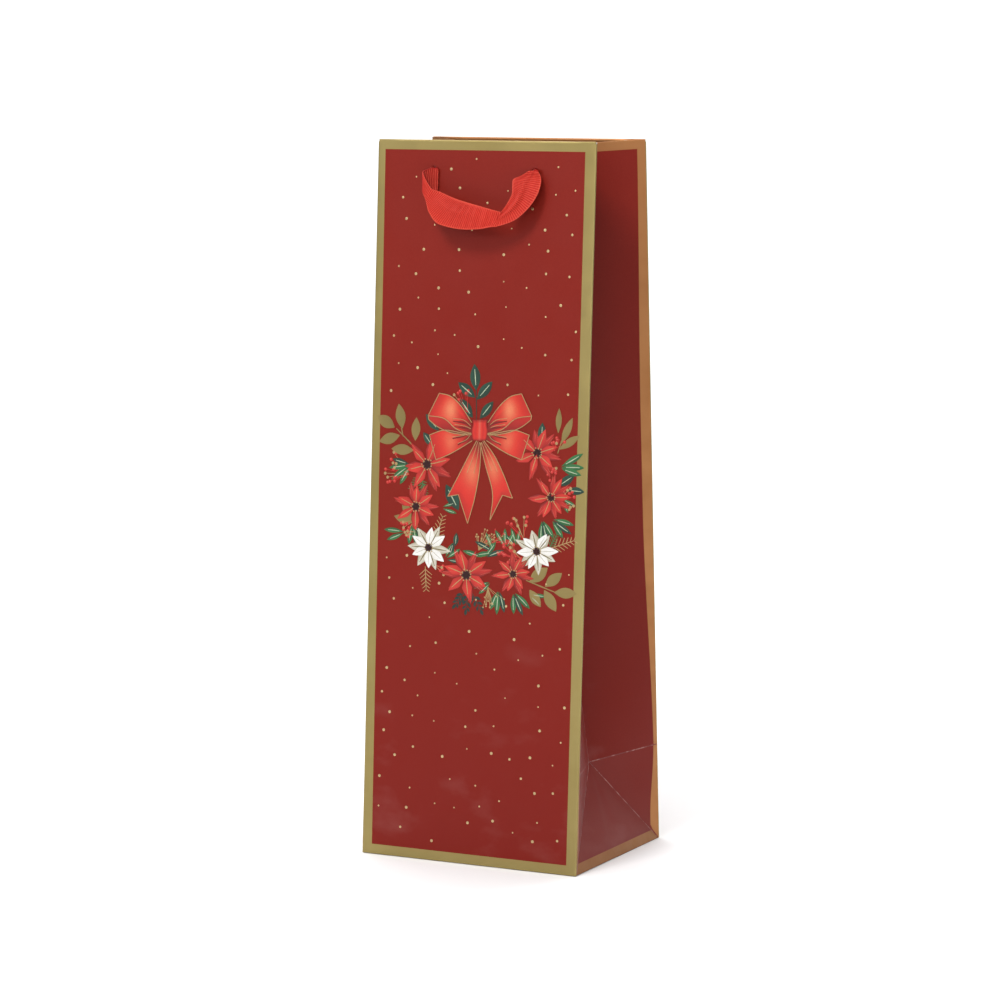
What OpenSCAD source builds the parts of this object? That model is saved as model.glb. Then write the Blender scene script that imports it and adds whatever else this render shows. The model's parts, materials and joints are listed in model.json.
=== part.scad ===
// Wine gift bag of laminated paper: a tall gusseted bag with ribbon handles.
// Origin: centre of the footprint on the surface that the bag stands on.
// +Z is up, the front panel faces -Y, and the gussets face -X and +X.
// Millimetres.

/* [Bag] */
// Width of the front and back panels
bag_w = 120; // [115:1:140]
// Depth of the base
bag_d = 100; // [92:1:104]
// Height of the panels, along the paper
bag_h = 360; // [330:1:400]
// Depth of the mouth between the outer faces of the panels
mouth_d = 58; // [52:1:70]
// Thickness of the laminated paper
paper_t = 0.35; // [0.25:0.05:0.4]

/* [Stiffeners] */
// Height of the turned-in hem at the mouth
hem_h = 38; // [30:1:44]
// Thickness of the boards under the hems
mouth_board_t = 1; // [0.6:0.1:1]
// Thickness of the board in the base
base_board_t = 1.2; // [0.8:0.1:2]

/* [Ribbon handles] */
// Width of the ribbon
ribbon_w = 15; // [10:1:18]
// Distance between a handle's two holes
hole_gap = 55; // [50:1:64]
// Diameter of the punched holes
hole_d = 5; // [4.5:0.5:6]
// Distance of the holes below the mouth
hole_drop = 15; // [12:1:18]
// How far the ribbon's middle hangs below its holes
ribbon_drop = 21; // [15:1:30]
// How far the ribbon's middle stands off the panel
ribbon_reach = 15; // [10:1:20]
// Diameter of the knots inside the bag
knot_d = 9; // [8:0.5:10]
// Thickness of the knots
knot_t = 4.4; // [3.6:0.2:4.8]

/* [Hidden] */
$fn = 48;
// Each gusset half is half as wide as the base is deep, and so is the folded foot high.
gusset_w = bag_d / 2;
// The panels lean towards each other from the base to the mouth.
lean = asin((bag_d - mouth_d) / 2 / bag_h);
// The gussets turn about lines this far inside the panels' outer faces.
fold_inset = 1;
// Free edges along the centre crease, the score and the folds
crease_gap = 1.8;
score_gap = 0.3;
edge_gap = 0.8;
hinge_clear = 0.3;
// Steps up the twisted gusset halves, below their hems
gusset_steps = 10;

// Layers of the folded base, from the surface up
flap_z = [0, paper_t, 2 * paper_t];
flap_clear = 0.6;
flap_overlap = 40;
side_flap_l = 44;
base_board_clear = 2;

// Hem and board stand this far in from the side folds, so that the gussets can fold behind them.
hem_side = 10;
hem_start = 0.6;
seam_w = 14;
gusset_hem_edge = 2.5;

neck_d = 3.6;
neck_out = 0.3;
tail_w = 5;
tail_l = 14;
tail_t = 0.8;
handle_out = 2;
ribbon_t = 0.8;
ribbon_end_w = 5;
ribbon_bulge = 5;
ribbon_steps = 28;

red = [0.56, 0.07, 0.06];
gold = [0.72, 0.58, 0.30];
white_paper = [0.93, 0.92, 0.89];
board_grey = [0.72, 0.70, 0.66];
ribbon_red = [0.86, 0.10, 0.08];

// ---------- Geometry of the folded sheet, drawn for the front right quarter ----------

function unit(v) = v / norm(v);

// A point up the outer fold between a panel and its gusset, s along the paper
function fold_point(s) = [bag_w / 2, -bag_d / 2 + s * sin(lean), s * cos(lean)];

// The same point on the line that the gusset turns about
function hinge_point(s) = fold_point(s) + fold_inset * [0, cos(lean), -sin(lean)];

// The tip of the foot, where the centre crease, the score and both diagonals meet
score_pt = fold_point(gusset_w);
tip_z = (score_pt.y * score_pt.y + score_pt.z * score_pt.z) / (2 * score_pt.z);
tip_in = sqrt(gusset_w * gusset_w - tip_z * tip_z);

// The top of the centre crease keeps its length from the tip and the gusset half's width.
top_pt = fold_point(bag_h);
crease_l = bag_h - gusset_w;
top_r = sqrt(gusset_w * gusset_w - top_pt.y * top_pt.y);
span = norm([tip_in, top_pt.z - tip_z]);
along = (top_r * top_r - crease_l * crease_l + span * span) / (2 * span);
across = sqrt(top_r * top_r - along * along);
crease_top_z = top_pt.z - along * (top_pt.z - tip_z) / span + across * tip_in / span;

function crease_fall(s) = let (share = (s - gusset_w) / crease_l)
    (score_pt.z - tip_z) * (1 - share) + (top_pt.z - crease_top_z) * share;

function crease_point(s) = let (fold = fold_point(s), fall = crease_fall(s))
    [bag_w / 2 - sqrt(gusset_w * gusset_w - fold.y * fold.y - fall * fall), 0, fold.z - fall];

// Where the gusset half's paper lies: s up it, v from its hinge line towards the centre crease,
// and "deep" off its outer face towards the inside of the bag
function across_gusset(s) = unit(crease_point(s) - hinge_point(s));
function into_bag(s) = let (d = across_gusset(s)) unit([-d.y, d.x, 0]);
function gusset_point(s, v, deep) = hinge_point(s) + v * across_gusset(s) + deep * into_bag(s);

// Heights and widths where the gusset's paper, its seam flap and its hem start and end
gusset_v = norm(crease_point(bag_h) - hinge_point(bag_h)) - crease_gap;
seam_top = bag_h - hem_h - hem_start;
rows = concat(
    [for (i = [0:gusset_steps]) gusset_w + score_gap
        + (seam_top - gusset_w - score_gap) * i / gusset_steps],
    [bag_h - hem_h, bag_h - hem_h / 2, bag_h]);
cols = [hinge_clear, gusset_hem_edge, gusset_hem_edge + seam_w, gusset_v - 2, gusset_v];

// A thin curved sheet: two matching grids of points, the outer face and the inner face
module sheet_solid(outer, inner) {
    last_row = len(outer) - 1;
    last_col = len(outer[0]) - 1;
    wide = last_col + 1;
    depth = (last_row + 1) * wide;
    cells = [for (r = [0:last_row - 1], c = [0:last_col - 1]) r * wide + c];
    points = concat([for (line = outer) each line], [for (line = inner) each line]);
    faces = concat(
        [for (k = cells) [k, k + wide, k + wide + 1]],
        [for (k = cells) [k, k + wide + 1, k + 1]],
        [for (k = cells) [depth + k, depth + k + wide + 1, depth + k + wide]],
        [for (k = cells) [depth + k, depth + k + 1, depth + k + wide + 1]],
        [for (r = [0:last_row - 1]) let (k = r * wide)
            [k, k + depth, k + depth + wide, k + wide]],
        [for (r = [0:last_row - 1]) let (k = r * wide + last_col)
            [k, k + wide, k + depth + wide, k + depth]],
        [for (c = [0:last_col - 1]) [c, c + 1, c + 1 + depth, c + depth]],
        [for (c = [0:last_col - 1]) let (k = last_row * wide + c)
            [k, k + depth, k + depth + 1, k + 1]]);
    polyhedron(points, faces);
}

// One face of a gusset half, between two of its rows and two of its columns
function gusset_grid(row0, row1, col0, col1, deep) =
    [for (r = [row0:row1]) [for (c = [col0:col1]) gusset_point(rows[r], cols[c], deep)]];

// Part of a gusset half, one layer of paper thick
module gusset_sheet(row0, row1, col0, col1, layer) {
    sheet_solid(
        gusset_grid(row0, row1, col0, col1, layer * paper_t),
        gusset_grid(row0, row1, col0, col1, (layer + 1) * paper_t));
}

// A flat three-cornered sheet, its edges drawn in by edge_gap
module corner_sheet(p, q, r, inner) {
    sides = [norm(q - r), norm(r - p), norm(p - q)];
    whole = sides[0] + sides[1] + sides[2];
    middle = (sides[0] * p + sides[1] * q + sides[2] * r) / whole;
    inradius = norm(cross(q - p, r - p)) / whole;
    keep = 1 - edge_gap / inradius;
    outer = [for (c = [p, q, r]) middle + keep * (c - middle)];
    polyhedron(concat(outer, [for (c = outer) c + inner]),
        [[0, 1, 2], [5, 4, 3], [0, 3, 4], [0, 4, 1], [1, 4, 5], [1, 5, 2], [2, 5, 3], [2, 3, 0]]);
}

// ---------- Placing ----------

module back() mirror([0, 1, 0]) children();
module left() mirror([1, 0, 0]) children();

// Into the front panel's own plane: X across, Y towards the inside of the bag, Z up the paper
module on_front() translate([0, -bag_d / 2, 0]) rotate([-lean, 0, 0]) children();

// ---------- Base ----------

module bottom_flap_front() {
    color(red) translate([-bag_w / 2 + flap_clear, -bag_d / 2 + flap_clear, flap_z[1]])
        cube([bag_w - 2 * flap_clear, bag_d / 2 + flap_overlap / 2 - flap_clear, paper_t]);
}

module bottom_flap_back() {
    taper = 12;
    color(red) linear_extrude(paper_t)
        polygon([
            [-bag_w / 2 + flap_clear, bag_d / 2 - flap_clear],
            [bag_w / 2 - flap_clear, bag_d / 2 - flap_clear],
            [bag_w / 2 - flap_clear, 0], [bag_w / 2 - taper, -flap_overlap / 2],
            [-bag_w / 2 + taper, -flap_overlap / 2], [-bag_w / 2 + flap_clear, 0]]);
}

// A side flap narrows from the fold inwards along the two diagonal folds of the base.
module bottom_flap_right() {
    slant = side_flap_l;
    half = bag_d / 2 - flap_clear;
    color(red) translate([0, 0, flap_z[2]]) linear_extrude(paper_t)
        polygon([[bag_w / 2 - flap_clear, -half], [bag_w / 2 - flap_clear, half],
            [bag_w / 2 - slant, half - slant + 6], [bag_w / 2 - slant, -half + slant - 6]]);
}

module base_board() {
    clear = base_board_clear;
    color(board_grey) translate([-bag_w / 2 + clear, -bag_d / 2 + clear, flap_z[2] + paper_t])
        cube([bag_w - 2 * clear, bag_d - 2 * clear, base_board_t]);
}

// ---------- Front panel and what is fixed to it ----------

module handle_holes(depth) {
    for (side = [-1, 1])
        translate([side * hole_gap / 2, -1, bag_h - hole_drop])
            rotate([-90, 0, 0]) cylinder(d = hole_d, h = depth + 2);
}

module front_panel() {
    foot_clear = 0.3;
    color(red) on_front() difference() {
        translate([-bag_w / 2, 0, foot_clear]) cube([bag_w, paper_t, bag_h - foot_clear]);
        handle_holes(paper_t);
    }
}

module front_board() {
    color(board_grey) on_front() difference() {
        translate([-bag_w / 2 + hem_side, paper_t, bag_h - hem_h + 2])
            cube([bag_w - 2 * hem_side, mouth_board_t, hem_h - 2 - hem_start]);
        handle_holes(paper_t + mouth_board_t);
    }
}

module front_hem() {
    color(gold) on_front() difference() {
        translate([-bag_w / 2 + hem_side, paper_t + mouth_board_t, bag_h - hem_h])
            cube([bag_w - 2 * hem_side, paper_t, hem_h - hem_start]);
        handle_holes(2 * paper_t + mouth_board_t);
    }
}

// A tight knot with rounded edges, on the neck of ribbon that passes through the hole
module knot() {
    round_r = 1.6;
    inside = 2 * paper_t + mouth_board_t;
    rim = [for (a = [0:15:90])
        [knot_d / 2 - round_r + round_r * sin(a), knot_t - round_r + round_r * cos(a)]];
    foot = [[knot_d / 2, 0.4], [knot_d / 2 - 0.4, 0], [0, 0]];
    rotate([-90, 0, 0]) {
        translate([0, 0, -neck_out]) cylinder(d = neck_d, h = neck_out + inside + 1);
        translate([0, 0, inside]) rotate_extrude() polygon(concat([[0, knot_t]], rim, foot));
    }
    for (turn = [-22, 22])
        translate([0, inside + 0.2, 0]) rotate([0, turn, 0]) translate([-tail_w / 2, 0, -tail_l - 1])
            cube([tail_w, tail_t, tail_l]);
}

module front_knots() {
    color(ribbon_red) on_front() for (side = [-1, 1])
        translate([side * hole_gap / 2, 0, bag_h - hole_drop]) knot();
}

// ---------- Gussets and feet, front right quarter ----------

module gusset_half() {
    color(red) gusset_sheet(0, len(rows) - 1, 0, len(cols) - 1, 0);
}

module gusset_half_hem() {
    color(gold) gusset_sheet(len(rows) - 3, len(rows) - 1, 1, len(cols) - 2, 1);
}

module seam() {
    color(white_paper) gusset_sheet(0, gusset_steps, 1, 2, 1);
}

module gusset_corner() {
    p = hinge_point(0.6);
    q = hinge_point(gusset_w - score_gap);
    r = crease_point(gusset_w);
    color(red) corner_sheet(p, r, q, paper_t * unit(cross(q - p, r - p)));
}

module foot() {
    tip = [bag_w / 2 - tip_in, 0, tip_z];
    front = [bag_w / 2, -bag_d / 2, 0];
    rear = [bag_w / 2, bag_d / 2, 0];
    up = 0.6 * unit([-tip_in, 0, tip_z]);
    color(red) corner_sheet(front + up, tip, rear + up, paper_t * unit([-tip_z, 0, -tip_in]));
}

// ---------- Ribbon handle ----------

// The ribbon's middle line in the front panel's plane, a = 0 to 180 degrees from hole to hole
function ribbon_point(a) = [-hole_gap / 2 * cos(a) - ribbon_bulge * sin(2 * a),
    -handle_out - ribbon_reach * sin(a), bag_h - hole_drop - ribbon_drop * sin(a)];
function ribbon_way(a) = unit(ribbon_point(a + 0.5) - ribbon_point(a - 0.5));
function ribbon_half(a) = (ribbon_end_w + (ribbon_w - ribbon_end_w) * pow(sin(a), 0.7)) / 2;

module ribbon() {
    angles = [for (i = [0:ribbon_steps]) 180 * i / ribbon_steps];
    wide = [for (a = angles) ribbon_half(a) * unit(cross(ribbon_way(a), [0, 1, 0]))];
    through = [for (i = [0:ribbon_steps])
        ribbon_t * unit(cross(wide[i], ribbon_way(angles[i])))];
    back_face = [for (i = [0:ribbon_steps]) let (p = ribbon_point(angles[i]) - through[i] / 2)
        [p - wide[i], p + wide[i]]];
    front_face = [for (i = [0:ribbon_steps]) [for (p = back_face[i]) p + through[i]]];
    color(ribbon_red) on_front() sheet_solid(back_face, front_face);
}

base_board();
bottom_flap_back();
bottom_flap_front();
left() bottom_flap_right();  // bottom_flap_left
bottom_flap_right();
front_panel();
front_board();
front_hem();
front_knots();
back() front_panel();  // back_panel
back() front_board();  // back_board
back() front_hem();  // back_hem
back() front_knots();  // back_knots
gusset_corner();  // front_right_corner
back() gusset_corner();  // back_right_corner
left() gusset_corner();  // front_left_corner
left() back() gusset_corner();  // back_left_corner
gusset_half();  // front_right_gusset
back() gusset_half();  // back_right_gusset
left() gusset_half();  // front_left_gusset
left() back() gusset_half();  // back_left_gusset
gusset_half_hem();  // front_right_hem
back() gusset_half_hem();  // back_right_hem
left() gusset_half_hem();  // front_left_hem
left() back() gusset_half_hem();  // back_left_hem
left() back() seam();  // seam_flap
foot();  // right_foot
left() foot();  // left_foot
ribbon();  // front_ribbon
back() ribbon();  // back_ribbon
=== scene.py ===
"""Wine gift bag of laminated paper: its looks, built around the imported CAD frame. Lengths are in metres.

Most paper pieces are made for the front right quarter of the bag and carried to the others by mirroring."""

import json
import math
import random

import bmesh
import bpy
import numpy as np
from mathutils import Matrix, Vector


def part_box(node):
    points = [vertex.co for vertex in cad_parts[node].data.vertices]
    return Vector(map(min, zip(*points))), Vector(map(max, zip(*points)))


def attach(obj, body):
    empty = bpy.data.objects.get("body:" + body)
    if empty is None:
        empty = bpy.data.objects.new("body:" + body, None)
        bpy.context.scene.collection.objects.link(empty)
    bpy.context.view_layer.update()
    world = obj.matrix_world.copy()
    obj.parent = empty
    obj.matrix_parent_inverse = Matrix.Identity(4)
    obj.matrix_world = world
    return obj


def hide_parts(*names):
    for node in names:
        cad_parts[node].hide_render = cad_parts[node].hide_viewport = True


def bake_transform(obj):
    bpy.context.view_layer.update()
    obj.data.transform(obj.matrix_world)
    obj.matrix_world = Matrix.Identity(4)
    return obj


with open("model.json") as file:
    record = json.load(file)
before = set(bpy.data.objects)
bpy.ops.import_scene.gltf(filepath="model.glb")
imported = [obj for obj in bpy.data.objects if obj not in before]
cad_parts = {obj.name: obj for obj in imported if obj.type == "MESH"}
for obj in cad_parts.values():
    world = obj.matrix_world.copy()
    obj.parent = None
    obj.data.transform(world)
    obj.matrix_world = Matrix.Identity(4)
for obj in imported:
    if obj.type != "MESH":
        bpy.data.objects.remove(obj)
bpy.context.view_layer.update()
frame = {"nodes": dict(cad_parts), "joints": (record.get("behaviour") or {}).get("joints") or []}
MM = 0.001

# ---------- Sizes, read from the frame ----------

JOINTS = {j["name"]: j for j in frame["joints"]}
FOLD_JOINT = JOINTS["front_right_gusset_fold"]
HALF_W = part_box("front_panel")[1].x
HALF_D = -JOINTS["mouth"]["pos_m"][1]
LEAN = math.asin(FOLD_JOINT["axis"][1])
SIN, COS = math.sin(LEAN), math.cos(LEAN)
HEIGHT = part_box("front_panel")[1].z / COS
INSET = (FOLD_JOINT["pos_m"][1] + HALF_D) / COS
GUSSET = HALF_D
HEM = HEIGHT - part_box("front_hem")[0].z / COS
BOARD_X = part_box("front_board")[1].x
HANDLE_AXIS = Vector(JOINTS["front_handle_swing"]["pos_m"])
HOLE_S = (HANDLE_AXIS.y + HALF_D) * SIN + HANDLE_AXIS.z * COS
# In millimetres: the holes' distance from the middle, and how far below the handle's axis they are
HOLE_X_MM, HOLE_LOW_MM = 27.5, 0.6
HOLE_X, HOLE_R, HOLE_LOW = HOLE_X_MM * MM, 1.9 * MM, HOLE_LOW_MM * MM
PAPER = 0.3 * MM
BOARD_T = 1 * MM
WEAR_AND_HIGHLIGHT_EDGE = 0.3 * MM  # width of the pale line along a crease: crazed film and a painted highlight
TOP_BAND = 4.6 * MM  # foil along the gussets' top edge
BORDER_LOW, BORDER_HIGH = 5.2 * MM, 5.0 * MM  # the panels' foil border at the foot and at the top

RIGHT, UP_PANEL, INTO = np.array([1, 0, 0]), np.array([0, SIN, COS]), np.array([0, COS, -SIN])


def smooth(t):
    t = min(1.0, max(0.0, t))
    return t * t * (3 - 2 * t)


def unit(v):
    return v / np.linalg.norm(v)


def mix(a, b, t):
    return a + (b - a) * t


def spread(start, end, count):
    return list(np.linspace(start, end, count))


def full_turn(count):
    """Evenly spaced angles round a circle."""
    return spread(0, 2 * math.pi, count + 1)[:-1]


# ---------- Camera, floor and light ----------

VIEW_AZIMUTH, VIEW_ELEVATION = math.radians(26.83), math.radians(7.19)
VIEW_DISTANCE, VIEW_LENS, SENSOR = 1.8283, 130.3, 36
AIM_HIGH, AIM_LEFT = 0.17782, 6.19 * MM  # the camera looks at a point this high, and left of the middle
LIT_HEIGHT = 0.17  # the softboxes point at the middle of the bag
WORLD_LIGHT = 0.20
# Name, place, size and watts of each softbox
SOFTBOXES = [("key_softbox", (-0.12, -1.35, 1.55), (0.55, 0.55), 23.5),
             ("top_softbox", (-0.2, 0.5, 2.8), (2.8, 2.8), 64),
             ("fill_softbox", (0.75, -2.2, 1.0), (0.8, 0.8), 13.5),
             ("side_softbox", (2.3, -0.7, 0.35), (0.8, 0.5), 3),
             ("front_softbox", (-1.1, -1.9, 0.95), (1.1, 0.5), 4),
             ("rim_softbox", (1.2, 2.2, 1.3), (0.8, 0.8), 6)]


def new_object(name, data):
    obj = bpy.data.objects.new(name, data)
    bpy.context.scene.collection.objects.link(obj)
    return obj


def look_at(obj, target):
    obj.rotation_euler = (Vector(target) - obj.location).to_track_quat("-Z", "Y").to_euler()


def add_camera():
    """The camera stands at the photograph's viewing angle."""
    azimuth, elevation = VIEW_AZIMUTH, VIEW_ELEVATION
    back = Vector((math.sin(azimuth) * math.cos(elevation), -math.cos(azimuth) * math.cos(elevation),
                   math.sin(elevation)))
    across = Vector((math.cos(azimuth), math.sin(azimuth), 0))
    target = Vector((0, 0, AIM_HIGH)) - across * AIM_LEFT
    data = bpy.data.cameras.new("camera")
    data.lens, data.sensor_width = VIEW_LENS, SENSOR
    camera = new_object("camera", data)
    camera.location = target + back * VIEW_DISTANCE
    look_at(camera, target)
    bpy.context.scene.camera = camera


def add_area_light(name, place, size, watts):
    data = bpy.data.lights.new(name, "AREA")
    data.shape, data.size, data.size_y = "RECTANGLE", size[0], size[1]
    data.energy = watts
    light = new_object(name, data)
    light.location = place
    look_at(light, (0, 0, LIT_HEIGHT))
    return light


def add_stage():
    """A pale floor that curves up into a backdrop behind the bag."""
    radius, front, behind, high, half = 0.9, -6.0, 1.6, 4.0, 5.0  # of the curve; the rest are its reach
    profile = [(front, 0.0)]
    profile += [(behind + radius * math.sin(a), radius - radius * math.cos(a))
                for a in spread(0, math.pi / 2, 24)]
    profile += [(behind + radius, high)]
    c, s = math.cos(VIEW_AZIMUTH), math.sin(VIEW_AZIMUTH)
    verts = [(x * c - y * s, x * s + y * c, z) for y, z in profile for x in (-half, half)]
    faces = [(2 * i, 2 * i + 1, 2 * i + 3, 2 * i + 2) for i in range(len(profile) - 1)]
    mesh = bpy.data.meshes.new("studio_floor")
    mesh.from_pydata(verts, [], faces)
    mesh.polygons.foreach_set("use_smooth", [True] * len(faces))
    floor = new_object("studio_floor", mesh)
    nodes = Nodes("pale_floor")
    nodes.shader(base=(0.9, 0.9, 0.9, 1), roughness=0.8, specular=0.1)
    mesh.materials.append(nodes.material)


def add_light():
    """Soft studio light: the softboxes, and one more that washes the backdrop."""
    scene = bpy.context.scene
    scene.view_settings.view_transform = "Standard"
    world = bpy.data.worlds.new("studio")
    world.use_nodes = True
    scene.world = world
    background = world.node_tree.nodes["Background"].inputs
    background["Color"].default_value, background["Strength"].default_value = (1, 1, 1, 1), WORLD_LIGHT
    for name, place, size, watts in SOFTBOXES:
        add_area_light(name, place, size, watts)
    backdrop = add_area_light("backdrop_light", (-0.2, 0.9, 3.2), (2.5, 1.0), 40)
    backdrop.rotation_euler = (math.radians(60), 0, math.radians(20))


# ---------- Materials ----------


def linear(colour):
    """Linear colour from 0-255 sRGB."""
    return tuple(c / 255 / 12.92 if c / 255 <= 0.04045 else ((c / 255 + 0.055) / 1.055) ** 2.4
                 for c in colour)


class Nodes:
    """Builds a node material; a node's settings and inputs are given by name."""

    def __init__(self, name):
        self.material = bpy.data.materials.new(name)
        self.material.use_nodes = True
        self.tree = self.material.node_tree
        self.tree.nodes.clear()
        self.place = self.tree.nodes.new("ShaderNodeTexCoord").outputs["Object"]

    def node(self, kind, **values):
        node = self.tree.nodes.new(kind)
        for key, value in values.items():
            if hasattr(node, key):
                setattr(node, key, value)
            else:
                self.put(node.inputs[key], value)
        return node

    def put(self, socket, value):
        if isinstance(value, bpy.types.NodeSocket):
            self.tree.links.new(value, socket)
        elif isinstance(value, tuple) and len(value) == 3 and socket.type == "RGBA":
            socket.default_value = (*value, 1)
        else:
            socket.default_value = value

    def noise(self, scale, detail=3.0, stretch=None):
        place = self.place
        if stretch:
            place = self.node("ShaderNodeMapping", Vector=place, Scale=stretch).outputs["Vector"]
        return self.node("ShaderNodeTexNoise", Vector=place, Scale=scale, Detail=detail).outputs["Fac"]

    def between(self, share, low, high, start=0.3, end=0.7):
        """low to high as share goes from start to end."""
        node = self.node("ShaderNodeMapRange")
        values = (share, start, end, low, high)
        for key, value in zip(("Value", "From Min", "From Max", "To Min", "To Max"), values):
            self.put(node.inputs[key], value)
        return node.outputs["Result"]

    def blend(self, share, first, second, how="MIX"):
        node = self.node("ShaderNodeMix", data_type="RGBA", blend_type=how)
        for i, value in ((0, share), (6, first), (7, second)):
            self.put(node.inputs[i], value)
        return node.outputs[2]

    def mottle(self, pattern, first, second, share=1.0, start=0.3, end=0.7):
        """From the first colour to share of the way to the second as the pattern goes from start to end."""
        return self.blend(self.between(pattern, 0.0, share, start, end), first, second)

    def bump(self, height, strength, distance, normal=None):
        node = self.node("ShaderNodeBump", Strength=strength, Distance=distance, Height=height)
        if normal:
            self.put(node.inputs["Normal"], normal)
        return node.outputs["Normal"]

    def shader(self, base, roughness, metallic=0.0, specular=0.5, normal=None, sheen=0.0):
        node = self.node("ShaderNodeBsdfPrincipled")
        sockets = {"Base Color": base, "Roughness": roughness, "Metallic": metallic,
                   "Specular IOR Level": specular, "Sheen Weight": sheen}
        for key, value in sockets.items():
            self.put(node.inputs[key], value)
        if normal:
            self.put(node.inputs["Normal"], normal)
        out = self.node("ShaderNodeOutputMaterial")
        self.tree.links.new(node.outputs["BSDF"], out.inputs["Surface"])


def film_normal(nodes):
    """The faint unevenness of paper under a laminating film."""
    fine = nodes.bump(nodes.noise(900, 4), 0.12, 0.02 * MM)
    return nodes.bump(nodes.noise(45, 2), 0.25, 0.2 * MM, fine)


def red_print(name, specular, low, painted_light_share, reach):
    """Red ink under film, with light painted in by height: towards the colour low over the heights in reach, a
    painted deeper shade on the panels and a painted floor reflection on the gussets; and faintly rubbed low
    down.
    """
    nodes = Nodes(name)
    mottled = nodes.mottle(nodes.noise(1400, 5), linear((115, 24, 14)), linear((121, 29, 18)))
    cloudy = nodes.mottle(nodes.noise(9, 2), mottled, linear((111, 19, 11)), 0.35)
    height = nodes.node("ShaderNodeSeparateXYZ", Vector=nodes.place).outputs["Z"]
    # Painted light by height: the colour runs towards low near the foot.
    height_painted_light = nodes.blend(nodes.between(height, painted_light_share, 0.0, *reach), cloudy, linear(low))
    marks = nodes.noise(30, 6, stretch=(1, 1, 1.7))
    rubbed = nodes.mottle(marks, height_painted_light, linear((214, 172, 166)), 0.05, 0.56, 0.74)
    scuffed_and_painted = nodes.blend(nodes.between(height, 1.0, 0.0, 0.05, 0.15), height_painted_light, rubbed)
    roughness = nodes.between(nodes.noise(60, 3), 0.36, 0.44)
    nodes.shader(scuffed_and_painted, roughness, specular=specular, normal=film_normal(nodes))
    return nodes.material


def crease_wear_and_highlight():
    """Print stretched over a crease, paler in patches: partly film that has crazed so the paper shows through,
    partly a painted highlight on the crease.
    """
    nodes = Nodes("crease_wear_and_highlight")
    patches = nodes.noise(260, 4)
    # Pale patches on the crease: crazed film and a painted highlight.
    colour = nodes.mottle(patches, linear((112, 26, 20)), linear((206, 160, 150)), 0.6, 0.48, 0.74)
    nodes.shader(colour, 0.45, normal=film_normal(nodes))
    return nodes.material


def gold_foil(name, light, dark):
    """Foil of the borders and bands, slightly uneven like the paper below it."""
    nodes = Nodes(name)
    colour = nodes.mottle(nodes.noise(30, 3), light, dark)
    grain = nodes.noise(1800, 3)
    roughness = nodes.between(nodes.noise(120, 3), 0.40, 0.52)
    normal = nodes.bump(grain, 0.18, 0.02 * MM, nodes.bump(nodes.noise(70, 2), 0.35, 0.25 * MM))
    nodes.shader(colour, roughness, metallic=1.0, normal=normal)
    return nodes.material


def white_paper():
    nodes = Nodes("white_paper")
    fibres = nodes.noise(700, 6, stretch=(1, 1, 0.35))
    colour = nodes.mottle(fibres, linear((236, 232, 224)), linear((224, 219, 209)))
    nodes.shader(colour, 0.85, specular=0.25, normal=nodes.bump(fibres, 0.3, 0.04 * MM))
    return nodes.material


def grey_board():
    nodes = Nodes("grey_board")
    flecks = nodes.noise(900, 6)
    colour = nodes.mottle(flecks, linear((186, 180, 170)), linear((150, 144, 134)), 1.0, 0.35, 0.65)
    nodes.shader(colour, 0.9, specular=0.2, normal=nodes.bump(flecks, 0.4, 0.08 * MM))
    return nodes.material


def print_ink():
    """The wreath's inks: each vertex holds its colour."""
    nodes = Nodes("print_ink")
    ink = nodes.node("ShaderNodeAttribute", attribute_name="ink").outputs["Color"]
    colour = nodes.mottle(nodes.noise(1500, 4), ink, linear((60, 10, 8)), 0.12)
    roughness = nodes.between(nodes.noise(60, 3), 0.33, 0.42)
    nodes.shader(colour, roughness, specular=0.45, normal=film_normal(nodes))
    return nodes.material


def foil_ink():
    """The wreath's hot-stamped foil: each vertex holds its colour."""
    nodes = Nodes("foil_ink")
    foil = nodes.node("ShaderNodeAttribute", attribute_name="ink").outputs["Color"]
    colour = nodes.mottle(nodes.noise(120, 3), foil, linear((150, 128, 84)), 0.3)
    grain = nodes.bump(nodes.noise(1800, 3), 0.18, 0.02 * MM)
    nodes.shader(colour, nodes.between(nodes.noise(120, 3), 0.36, 0.48), metallic=1.0, normal=grain)
    return nodes.material


def grosgrain(name, light, dark):
    """Ribbed ribbon with a painted highlight along the tops of its ribs: each vertex holds how near a rib's
    top it is.
    """
    nodes = Nodes(name)
    weave = nodes.noise(2600, 2)
    colour = nodes.mottle(nodes.noise(80, 3), light, dark)
    # Painted highlight: paler where the ribs' tops are.
    crest_highlight = nodes.node("ShaderNodeAttribute", attribute_name="crest_highlight").outputs["Fac"]
    crest_highlit = nodes.blend(nodes.between(crest_highlight, 0.0, 0.6, 0.35, 1.0), colour, linear((212, 82, 60)))
    threads = nodes.mottle(weave, crest_highlit, linear((196, 56, 40)), 0.25)
    nodes.shader(threads, 0.62, specular=0.2, sheen=0.06, normal=nodes.bump(weave, 0.35, 0.05 * MM))
    return nodes.material


add_camera()
add_stage()
add_light()

# Panels and bottom flaps: painted deeper, less hazy red towards the foot, a painted shade.
RED = red_print("red_print", 0.21, (113, 16, 3), 0.8, (0.06, 0.3))
# Gussets: painted paler at the very foot, a painted reflection of the floor.
SIDE_RED = red_print("red_print_side", 0.16, (150, 84, 78), 0.16, (0.008, 0.03))
# Crease lines: wear and a painted highlight.
WEAR_AND_HIGHLIGHT = crease_wear_and_highlight()
GOLD = gold_foil("gold_foil", linear((165, 148, 96)), linear((156, 139, 88)))
PRINT_GOLD = foil_ink()
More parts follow.
